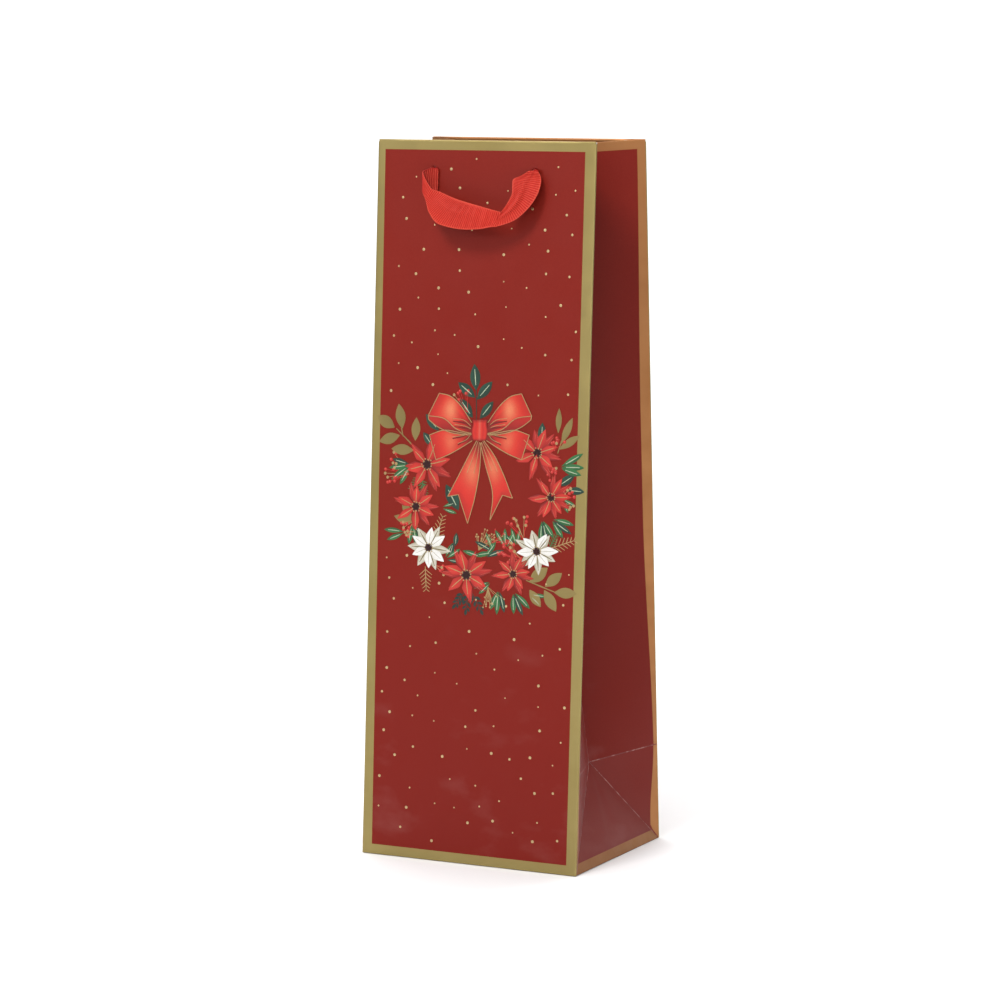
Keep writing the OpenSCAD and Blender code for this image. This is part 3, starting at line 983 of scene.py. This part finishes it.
def wreath(red, foil):
    """The wreath in the middle of the panel: a bow above a ring of leaves, berries and poinsettias.

    The tables give places, angles in degrees, lengths, and counts or widths where they have them."""
    red.strip([(-1, 222), (-1.4, 234), (-1.8, 244)], 0.5, DEEP_GREEN, LEAF_LIFT)
    sprigs = [((-1.6, 237), 96, 13), ((-2.2, 233.5), 142, 12), ((-0.9, 232.5), 47, 12),
              ((-3.2, 223.5), 128, 12), ((1, 223), 50, 11), ((-22, 217), 132, 11), ((-25, 209), 128, 9),
              ((35, 211), 88, 10), ((45, 190), 32, 10), ((50, 188), -6, 9), ((-17, 190), -62, 15),
              ((-12, 158), 84, 7), ((-15, 153), 74, 7)]
    for base, angle, length in sprigs:
        leaf(red, base, angle, length, 0.44 * length, DARK_GREEN, RIB_GREEN)
    stems = [[(-32, 205), (-38, 211), (-46, 218)], [(-42, 214), (-43, 218), (-43, 220)],
             [(27, 141), (35, 138), (43, 135)], [(-38, 171), (-35, 170), (-33, 168)],
             [(44, 206), (46, 212), (47, 214)]]
    for points in stems:
        foil.strip(points, 0.7, LEAF_GOLD, LEAF_LIFT - 0.02)
    gold_leaves = [((-47, 218.5), 150, 11.5, 6), ((-42.5, 218), 101, 12.5, 5.6),
                   ((-44, 214.5), 195, 12, 5.6), ((-35, 212), 88, 11.5, 5), ((-36, 207), 176, 12.5, 5.4),
                   ((44, 216), 89, 12, 3.2), ((46, 211), 66, 13.5, 4), ((45, 208), 32, 12.5, 4),
                   ((29, 140), 38, 12.5, 6.4), ((37.5, 138), 38, 11.5, 5.6), ((42.5, 135), -2, 12, 5.6),
                   ((37, 136), -60, 12.5, 5.8), ((29, 136), -56, 10.5, 5), ((-37, 171), 112, 12, 4.4),
                   ((-36, 170), 162, 11, 4.6)]
    for base, angle, length, width in gold_leaves:
        leaf(foil, base, angle, length, width, LEAF_GOLD)
    for base, angle, length in (((-23, 161), 72, 13), ((41, 158), 18, 13), ((-29, 147), -88, 12)):
        fir(foil, base, angle, length, 5, RIB_GOLD, 0.42)
    for base, angle, length in (((-5, 134), -98, 9), ((-3, 134), -62, 10), ((-7, 134), -128, 8)):
        sprig(red, base, angle, length, 3, 3.6, 1.7, DEEP_GREEN)
    for base, angle, length in (((-30, 192), -100, 10), ((-31, 193), -70, 9), ((-32, 194), -130, 8),
                                ((40, 158), 60, 8)):
        fir(red, base, angle, length, 3.2, MID_GREEN, 0.4)
    leaf_fans = [((-37, 200), (212, 190, 236, 168), 12), ((-40, 165), (172, 204), 11),
                 ((-36, 170), (280, 304, 256), 12), ((-31, 189), (248, 274), 8), ((-20, 178), (340, 20), 8),
                 ((-18, 151), (30, 64, 350), 9), ((4, 152), (160, 24, 50), 11),
                 ((10, 155), (150, 118, 186), 11), ((16, 157), (118, 94, 60), 10),
                 ((22, 158), (104, 80, 132), 9), ((36, 173), (264, 284, 300), 12),
                 ((41, 173), (322, 348, 300), 12), ((45, 199), (26, 2, 340), 13),
                 ((46, 184), (330, 300), 8), ((12, 136), (262, 286, 244), 12),
                 ((20, 135), (290, 318, 268), 12), ((28, 134), (350, 320), 9), ((8, 140), (200, 226), 9)]
    for k, (base, angles, length) in enumerate(leaf_fans):
        for i, angle in enumerate(angles):
            green = DARK_GREEN if (i + k) % 4 == 3 else MID_GREEN
            leaf(red, base, angle, length * (1 - 0.07 * i), 0.25 * length, green, RIB_GREEN,
                 bend=0.05 * (-1) ** i, full=0.55, gap=1.4)
    sprays = [((-6, 226), 128, 13, 14, 0.8, 0.05), ((-38, 195), 165, 15, 17, 0.85, 0.35),
              ((-35, 171), 205, 9, 9, 0.85, 0.3), ((-34, 165), 172, 8, 6, 0.85, 0.4),
              ((26, 162), 112, 13, 13, 0.85, 0.35), ((43, 182), 10, 11, 12, 0.85, 0.3),
              ((22, 152), 140, 12, 12, 0.85, 0.25), ((27, 150), 170, 16, 12, 0.9, 0.3),
              ((1, 156), 66, 12, 16, 0.5, 0.95), ((8, 160), 40, 10, 9, 0.4, 0.2),
              ((6, 137), -70, 11, 14, 0.5, 1.0), ((42, 207), 70, 8, 8, 0.85, 0.1),
              ((38, 200), -40, 8, 8, 0.8, 0.1), ((-24, 148), -20, 8, 5, 0.8, 0.6)]
    for seed, (base, angle, length, count, size, gold_share) in enumerate(sprays):
        berry_spray(red, foil, base, angle, length, count, size, gold_share, seed)
    for centre, radius, turn in (((-28, 200), 13, 8), ((-34, 178.5), 12, 30), ((33, 206), 12, 20),
                                 ((41, 184), 11, 4), ((-6, 143), 13.5, 40), ((20, 144), 10.5, 12)):
        poinsettia(red, foil, centre, radius, turn)
    for centre, radius, turn in (((-27, 157), 11.5, 26), ((33, 156), 11.5, 8)):
        poinsettia(red, foil, centre, radius, turn, white=True)
    bow(red, foil, (1, 217))


DOT_COUNT, DOT_TRIES = 132, 6000
FIELD_X, FIELD_LOW, FIELD_HIGH = 52, 9, 351


def foil_dots(foil):
    """Small raised dots scattered over the red field, clear of the wreath and the handle's holes."""
    foil.placed = lambda x, s: (x, s)
    draw = random.Random(5)
    placed, tries = [], 0
    while len(placed) < DOT_COUNT and tries < DOT_TRIES:
        tries += 1
        x, s = draw.uniform(-FIELD_X, FIELD_X), draw.uniform(FIELD_LOW, FIELD_HIGH)
        in_wreath = ((x - 2) / 53) ** 2 + ((s - 186) / 49) ** 2 < 1 or (abs(x + 2) < 12 and 225 < s < 254)
        in_wreath = in_wreath or (abs(x) > 30 and 160 < s < 232)
        near_hole = abs(abs(x) - HOLE_X_MM) < 6 and abs(s - 345) < 6
        apart = 10.2 - 3.4 * tries / DOT_TRIES
        if in_wreath or near_hole or any((x - a) ** 2 + (s - b) ** 2 < apart ** 2 for a, b in placed):
            continue
        placed.append((x, s))
        foil.disc(x, s, draw.choice((0.38, 0.46, 0.62, 0.74)), DOT_GOLD, LEAF_LIFT, sides=12, dome=0.06)


def print_panel(body, place):
    """A panel's print: the inks in one piece and the foil in another."""
    red, foil = Print(), Print()
    wreath(red, foil)
    foil_dots(foil)
    for sheet, title, material, slot in ((red, "wreath_print", INK, "printed_paper"),
                                         (foil, "foil_print", PRINT_GOLD, "gold_hem")):
        verts = [place(v) for v in sheet.verts]
        piece = new_piece(f"{body}_{title}", verts, sheet.faces, [material], sharp=30)
        shades = piece.data.color_attributes.new("ink", "FLOAT_COLOR", "POINT")
        shades.data.foreach_set("color", [c for colour in sheet.inks for c in (*colour, 1.0)])
        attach(piece, body)


print_panel("front", unturned)
print_panel("back", turned)

# ---------- Ribbon handles: places in millimetres, across, out from the panel and up from the holes ----------

# Matching places on the ribbon's upper and lower edges from the left hole to the right one, how far its middle
# is cupped towards the panel, and how far a lengthwise crease stands out
RIBBON_COURSE = [
    ((-27.4, -0.3, 0.2), (-27.6, -0.3, -1.4), 0, 0), ((-25.7, 1.6, 0.8), (-25.7, 1.3, -10.2), 0.3, 0),
    ((-28.8, 2.4, 1), (-28.4, 1.9, -10.8), 0.5, 0), ((-31.6, 5, -0.7), (-30.8, 4.4, -11), 0.3, 0),
    ((-30.2, 7.8, -2.5), (-30.4, 7.6, -11), 0, 0), ((-27.2, 8.8, -6.6), (-28.8, 9.4, -12.8), 0, 0),
    ((-24.4, 9.2, -9.6), (-27.2, 10.4, -15), 0, 0), ((-20.5, 9.6, -10.6), (-25.9, 11.4, -17.8), 0.3, 0),
    ((-14.5, 10.5, -12.7), (-24, 12.5, -21.2), -0.4, 0.3), ((-9, 11, -14.5), (-18.6, 13.5, -26.4), -0.7, 0.8),
    ((-2.5, 11.5, -16.1), (-7.4, 14, -28.8), -0.7, 0.6), ((5.5, 12, -17.9), (3.2, 14, -28.8), -0.4, 0),
    ((14, 12.2, -19.8), (11.4, 13.6, -27.4), 0.8, 0), ((15.2, 11.4, -19.8), (13.4, 12.6, -27.2), 0.2, 0.5),
    ((17.4, 10, -16.2), (22, 10.8, -24), 0, 1.3), ((19.2, 8.6, -11.5), (28.2, 8.6, -18.2), 0, 1.6),
    ((18.4, 6.4, -7.2), (32, 6.4, -11.5), 0, 1.6), ((18, 4.6, -4), (33, 4.6, -5.6), 0.8, 1.4),
    ((21.6, 3.2, -2), (32, 3.2, -2.3), 1.2, 1), ((24.8, 1.8, 0.1), (30.2, 1.8, -0.4), 0.4, 0.5),
    ((26.6, -0.3, 0.3), (28.4, -0.3, 0), 0, 0)]
RIB_PITCH, RIB_HIGH, RIBBON_T = 0.98, 0.16, 0.42


def off_panel(p):
    """A point given in millimetres across, out and up from the holes, in the frame."""
    return np.array([0, -HALF_D, 0]) + MM * (p[0] * RIGHT - p[1] * INTO + p[2] * UP_PANEL) + HOLE_S * UP_PANEL


def ribbon_grid(steps=36, cols=25):
    """The ribbon's middle surface, gathered at the two holes, and how far along it each row is."""
    spans = len(RIBBON_COURSE) - 1
    upper, lower = (curve([station[k] for station in RIBBON_COURSE], steps * spans) for k in (0, 1))
    form = curve([station[2:] for station in RIBBON_COURSE], steps * spans)
    grid, run, runs = [], 0.0, []
    for i, (a, b, (cup, crease)) in enumerate(zip(upper, lower, form)):
        if i:
            run += np.linalg.norm((a + b - upper[i - 1] - lower[i - 1]) / 2)
        runs.append(run)
        line = []
        for u in spread(0, 1, cols):
            gather = math.exp(-i / (0.5 * steps)) + math.exp(-(steps * spans - i) / (0.55 * steps))
            out = -cup * math.sin(math.pi * u) + crease * math.exp(-((u - 0.42) / 0.10) ** 2)
            out += 0.55 * gather * math.sin(7 * math.pi * u)
            line.append(mix(a, b, u) + np.array([0, out, 0]))
        grid.append(line)
    return np.array(grid), np.array(runs)


def add_ribbon(body, place):
    """A handle of ribbed ribbon with soft edges."""
    grid, runs = ribbon_grid()
    along = np.gradient(grid, axis=0)
    across = np.gradient(grid, axis=1)
    normal = np.cross(across, along)
    normal /= np.maximum(np.linalg.norm(normal, axis=2, keepdims=True), 1e-9)
    share = np.linspace(0, 1, grid.shape[1])
    selvage = np.clip(np.minimum(share, 1 - share) / 0.07, 0, 1)[None, :]
    rib = (RIB_HIGH * np.cos(2 * math.pi * runs / RIB_PITCH)[:, None] * selvage)[..., None]
    sheet = Sheets()
    faces = [[[off_panel(p) for p in line] for line in grid + normal * (side * RIBBON_T / 2 + side * rib)]
             for side in (1, -1)]
    # One face takes the darker copy of the ribbon, a painted shade.
    sheet.add(*faces, tag=1, inner_tag=0, edge_tag=0)
    piece = new_piece(body + "_ribbon_handle", [place(v) for v in sheet.verts], sheet.faces,
                      [RIBBON, RIBBON_SHADED], sheet.indices, sharp=60)
    # How near each vertex is to a rib's top, for the painted highlight; the other face takes the opposite.
    crest_highlights = (0.5 + 0.5 * np.cos(2 * math.pi * runs / RIB_PITCH))[:, None] * selvage
    levels = piece.data.attributes.new("crest_highlight", "FLOAT", "POINT")
    levels.data.foreach_set("value", np.concatenate([crest_highlights.ravel(), 1 - crest_highlights.ravel()]))
    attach(piece, body + "_handle")
    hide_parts(body + "_ribbon")


def tube(path, sides, radii, facing, closed=False):
    """A tube along the path with an oval section; radii gives its size across facing and along it."""
    verts, faces = [], []
    count = len(path)
    for i, p in enumerate(path):
        before = path[i - 1] if closed or i else path[0]
        after = path[(i + 1) % count] if closed or i < count - 1 else path[-1]
        way = unit(after - before)
        face = facing[i] - (facing[i] @ way) * way
        face = unit(face)
        side = np.cross(way, face)
        wide, thick = radii(i / (count - 1))
        verts += [p + wide * math.cos(a) * side + thick * math.sin(a) * face for a in full_turn(sides)]
    rows = count if closed else count - 1
    for i in range(rows):
        for k in range(sides):
            a, b = i * sides + k, i * sides + (k + 1) % sides
            c, d = (b + sides) % len(verts), (a + sides) % len(verts)
            faces.append((a, b, c, d))
    if not closed:
        faces += [tuple(range(sides))[::-1], tuple(range(len(verts) - sides, len(verts)))]
    return verts, faces


# In millimetres: a knot's size, the radius of the gathered end in its hole, and how far in the hem's face is
KNOT_R, KNOT_DEEP, NECK_R, INSIDE = 3.7, 1.5, 1.86, -1.7


def add_knots(body, place):
    """Each ribbon end goes through its hole and is tied in a knot behind the hem, with its tails hanging."""
    verts, faces = [], []

    def gather(part):
        start = len(verts)
        verts.extend(off_panel(p) for p in part[0])
        faces.extend(tuple(start + i for i in face) for face in part[1])

    for side in (-1, 1):
        middle = np.array([side * HOLE_X_MM, INSIDE - 2.1, 0.0])
        neck = [np.array([side * HOLE_X_MM, y, -HOLE_LOW_MM]) for y in spread(0.3, INSIDE - 1.2, 14)]
        upright = [np.array([0, 0, 1])] * len(neck)
        gather(tube(neck, 24, lambda t: (NECK_R - 0.4 * (1 - smooth(t / 0.2)),) * 2, upright))
        for tilt, size, wide in ((35, 1.0, 1.5), (-40, 0.93, 1.6), (90, 0.80, 1.5)):
            ring, facing = [], []
            for a in full_turn(40):
                flat = size * KNOT_R * math.cos(a) * np.append(heading(tilt), 0)[[0, 2, 1]]
                p = flat + np.array([0, size * KNOT_DEEP * math.sin(a), 0])
                ring.append(middle + p)
                facing.append(unit(p * np.array([1, 4, 1])))
            gather(tube(ring, 14, lambda t, wide=wide: (wide, 0.62), facing, closed=True))
        for turn, long in ((-24, 14), (17, 12.5)):
            way = np.append(heading(-90 + turn), 0)[[0, 2, 1]]
            tail = [middle + way * (1.5 + t * long)
                    + np.array([0.5 * math.sin(4 * t + turn), 0.9 - 0.5 * math.sin(5 * t), 0])
                    for t in spread(0, 1, 16)]
            outward = [np.array([0.3 * side, 1, 0])] * len(tail)
            gather(tube(tail, 14, lambda t: (1.0 + 1.6 * smooth(t / 0.5), 0.3), outward))
    piece = new_piece(body + "_knot_pair", [place(v) for v in verts], faces, [RIBBON], sharp=60)
    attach(piece, body)
    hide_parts(body + "_knots")


for body, place in (("front", unturned), ("back", turned)):
    add_ribbon(body, place)
    add_knots(body, place)

# ---------- Gussets ----------

CREASE_R, GUSSET_HOLLOW = 0.8 * MM, 1.5 * MM
# The flange behind a crease: its distance from the crease, its thickness and how far it reaches back under
# its own half, its width in millimetres at the score and at the mouth, and how many times the crease's half
# angle it stands off the other half
LAP_OUT, LAP_T, LAP_UNDER = 1.3 * MM, 0.25 * MM, 3 * MM
LAP_LOW, LAP_HIGH, LAP_TURN = 2.5, 7, 1.34
GLUE_GAP = 0.02 * MM


def fold_band(s):
    """Width of the foil band along the gusset's outer fold, which narrows at the score."""
    above = mix(2.4, 5.2, smooth((s - GUSSET) / 0.12)) - 1.1 * smooth((s - 0.22) / 0.13)
    below = mix(5.8, 2.6, smooth((s - 0.012) / (GUSSET - 0.012)))
    return (above if s >= GUSSET else below) * MM


def crease_angle(s):
    """How far each half has turned in from a flat side, seen from above; the crease turns by twice that."""
    d = across_gusset(s)
    return math.atan2(-d[0], d[1])


def half_width(s):
    return np.linalg.norm(crease_point(s) - hinge_point(s))


def round_width(s):
    """How much of a half's width the crease's small round takes."""
    return CREASE_R * math.tan(crease_angle(s))


def gusset_point(s, v, deep):
    """v runs from the outer fold to the centre crease, where the two halves meet in a small round."""
    d, crease, angle = across_gusset(s), crease_point(s), crease_angle(s)
    whole, tangent = half_width(s), round_width(s)
    left = whole - v
    if left >= tangent:
        hollow = GUSSET_HOLLOW * smooth((s - GUSSET) / (60 * MM))
        hollow *= math.sin(math.pi * max(0, v) / (whole - tangent))
        return hinge_point(s) + v * d + (deep + hollow) * into_bag(s)
    turn = angle * left / tangent
    centre = crease[0] + CREASE_R / math.cos(angle)
    reach = CREASE_R + deep
    return np.array([centre - reach * math.cos(turn), -reach * math.sin(turn), crease[2] + left * -d[2]])


def gusset_columns(s):
    whole, tangent, band = half_width(s), round_width(s), fold_band(s)
    flat = whole - tangent
    return [0, 0.5 * band, band] + spread(band, flat, 12)[1:] + spread(flat, whole, 7)[1:]


def blend_side(piece):
    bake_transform(piece)


def crease_lap(sheets, stations):
    """A narrow flange behind the centre crease, which closes the gap there when the mouth opens."""
    outer = []
    for s in stations:
        up = (s - GUSSET) / (HEIGHT - GUSSET)
        d, crease = across_gusset(s), crease_point(s)
        turn = LAP_TURN * crease_angle(s)
        x, y = -d[0], d[1]
        way = np.array([x * math.cos(turn) - y * math.sin(turn), y * math.cos(turn) + x * math.sin(turn), 0])
        bend, wide = crease - [LAP_OUT, 0, 0], mix(LAP_LOW, LAP_HIGH, up)
        outer.append([bend - LAP_UNDER * d, bend]
                     + [bend + share * wide * MM * way for share in (0.35, 0.7, 1)])
    inner = [[p - [LAP_T, 0, 0] for p in line] for line in outer]
    band, hem = ([s >= HEIGHT - limit for s in stations].index(True) for limit in (TOP_BAND, HEM))
    sheets.add(outer, inner, lambda r, c: SHADED_GOLD_I if r >= band else SIDE_I,
               lambda r, c: SHADED_GOLD_I if r >= band else RED_I if r >= hem else WHITE_I, SIDE_I)


def gusset_half(sx, sy):
    """The twisted upper half of a gusset, and on the front halves the flange behind its crease."""
    panel, flank = quarter_names(sx, sy)
    sheets = Sheets()
    stations = [GUSSET, GUSSET + 0.25 * MM] + spread(GUSSET + 4 * MM, HEIGHT - HEM, 40)
    stations += spread(HEIGHT - HEM + 4 * MM, HEIGHT - TOP_BAND, 8) + [HEIGHT - TOP_BAND / 2, HEIGHT - PAPER]
    grid = [gusset_columns(s) for s in stations]
    outer = [[gusset_point(s, v, 0) for v in line] for s, line in zip(stations, grid)]
    inner = [[gusset_point(s, v, PAPER) for v in line] for s, line in zip(stations, grid)]

    def tag(r, c):
        if r == 0 or c >= len(grid[0]) - 3:
            return WEAR_AND_HIGHLIGHT_I
        return SHADED_GOLD_I if c < 2 or r >= len(stations) - 3 else SIDE_I

    sheets.add(outer, inner, tag)
    if sy < 0:
        crease_lap(sheets, stations[1:])
    piece = sheets.piece(f"{panel}_{flank}_gusset_sheet", quarter(sx, sy))
    blend_side(piece)
    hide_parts(f"{panel}_{flank}_gusset")


def gusset_hem(sx, sy):
    """The paper at the top of a gusset half, folded over and down inside."""
    panel, flank = quarter_names(sx, sy)
    sheets = Sheets()
    profile = [(HEIGHT - PAPER + PAPER * math.sin(a), PAPER - PAPER * math.cos(a), -math.sin(a), math.cos(a))
               for a in spread(0, math.pi, 9)]
    profile += [(s, 2 * PAPER, 0, -1) for s in spread(HEIGHT - 2 * MM, HEIGHT - HEM, 14)]
    share = spread(0.025, 0.965, 16)
    outer, inner = [], []
    for s, deep, ns, nd in profile:
        whole = half_width(s)
        outer.append([gusset_point(s, f * whole, deep) for f in share])
        inner.append([gusset_point(s + ns * PAPER, f * whole, deep + nd * PAPER * 0.98) for f in share])
    sheets.add(outer, inner, lambda r, c: SHADED_GOLD_I if r < 11 else RED_I)
    piece = sheets.piece(f"{panel}_{flank}_hem_fold", quarter(sx, sy))
    blend_side(piece)
    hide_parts(f"{panel}_{flank}_hem")


def seam_flap():
    """The glued seam: the back panel's sheet ends inside the left gusset."""
    sheets = Sheets()
    stations = spread(GUSSET + 0.4 * MM, HEIGHT - HEM - 0.6 * MM, 44)
    columns = spread(2.5 * MM, 16.5 * MM, 9)
    sheets.add(*[[[gusset_point(s, v, deep) for v in columns] for s in stations]
                 for deep in (PAPER + GLUE_GAP, 2 * PAPER)], WHITE_I)
    piece = sheets.piece("glued_seam_flap", quarter(-1, 1))
    blend_side(piece)
    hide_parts("seam_flap")


def corner_facet(sx, sy):
    """The flat triangle between the side fold, the score and the diagonal."""
    panel, flank = quarter_names(sx, sy)
    sheets = Sheets()
    d, whole = across_gusset(GUSSET), half_width(GUSSET)
    inward = unit(np.cross(crease_point(GUSSET) - hinge_point(0), UP_PANEL))
    if inward[0] > 0:
        inward = -inward
    stations = [0.3 * MM] + spread(1.5 * MM, GUSSET - 0.25 * MM, 22) + [GUSSET]
    outer, inner, grid = [], [], []
    for s in stations:
        reach = whole * s / GUSSET
        edge = min(WEAR_AND_HIGHLIGHT_EDGE, 0.3 * reach)
        band = min(fold_band(s), 0.8 * (reach - edge))
        line = [0, 0.5 * band, band] + spread(band, reach - edge, 9)[1:] + [reach]
        grid.append(line)
        outer.append([hinge_point(s) + v * d for v in line])
        inner.append([hinge_point(s) + v * d + PAPER * inward for v in line])

    def tag(r, c):
        if c == len(grid[0]) - 2 or r == len(stations) - 2:
            return WEAR_AND_HIGHLIGHT_I
        return SHADED_GOLD_I if c < 2 else SIDE_I

    sheets.add(outer, inner, tag)
    piece = sheets.piece(f"{panel}_{flank}_corner_facet", quarter(sx, sy))
    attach(piece, f"{panel}_{flank}_fold")
    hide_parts(f"{panel}_{flank}_corner")


def foot_facet(sx):
    """The large triangle that the base's folding leaves on the side, with a faint crease down its middle."""
    flank = "right" if sx > 0 else "left"
    sheets = Sheets()
    tip = np.array([HALF_W - TIP_IN, 0, TIP_Z])
    up = unit(np.array([-TIP_IN, 0, TIP_Z]))
    inward = np.array([-TIP_Z, 0, -TIP_IN]) / GUSSET
    half = HALF_D - INSET
    rise = spread(0.45 * MM, 5.4 * MM, 4) + spread(8 * MM, GUSSET - 1.5 * MM, 16) + [GUSSET - 0.2 * MM]
    outer, inner = [], []
    for h in rise:
        reach = half * (1 - h / GUSSET)
        edge = min(WEAR_AND_HIGHLIGHT_EDGE, 0.3 * reach)
        line = [-reach] + spread(-(reach - edge), reach - edge, 17) + [reach]
        row = []
        for y in line:
            dish = 0.5 * MM * smooth(1 - abs(y) / max(reach, 1e-6)) * math.sin(math.pi * h / GUSSET)
            pinch = 0.25 * MM * math.exp(-abs(y) / (3 * MM)) * math.sin(math.pi * h / GUSSET)
            row.append(np.array([HALF_W, y, 0]) + h * up - (dish - pinch) * inward)
        outer.append(row)
        inner.append([p + PAPER * inward for p in row])

    def tag(r, c):
        if c in (0, 17):
            return WEAR_AND_HIGHLIGHT_I
        return SHADED_GOLD_I if r < 3 else SIDE_I

    sheets.add(outer, inner, tag)
    piece = sheets.piece(f"{flank}_foot_facet", quarter(sx, -1))
    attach(piece, f"{flank}_foot")
    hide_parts(f"{flank}_foot")


seam_flap()
for sx in (1, -1):
    foot_facet(sx)
    for sy in (-1, 1):
        gusset_half(sx, sy)
        gusset_hem(sx, sy)
        corner_facet(sx, sy)
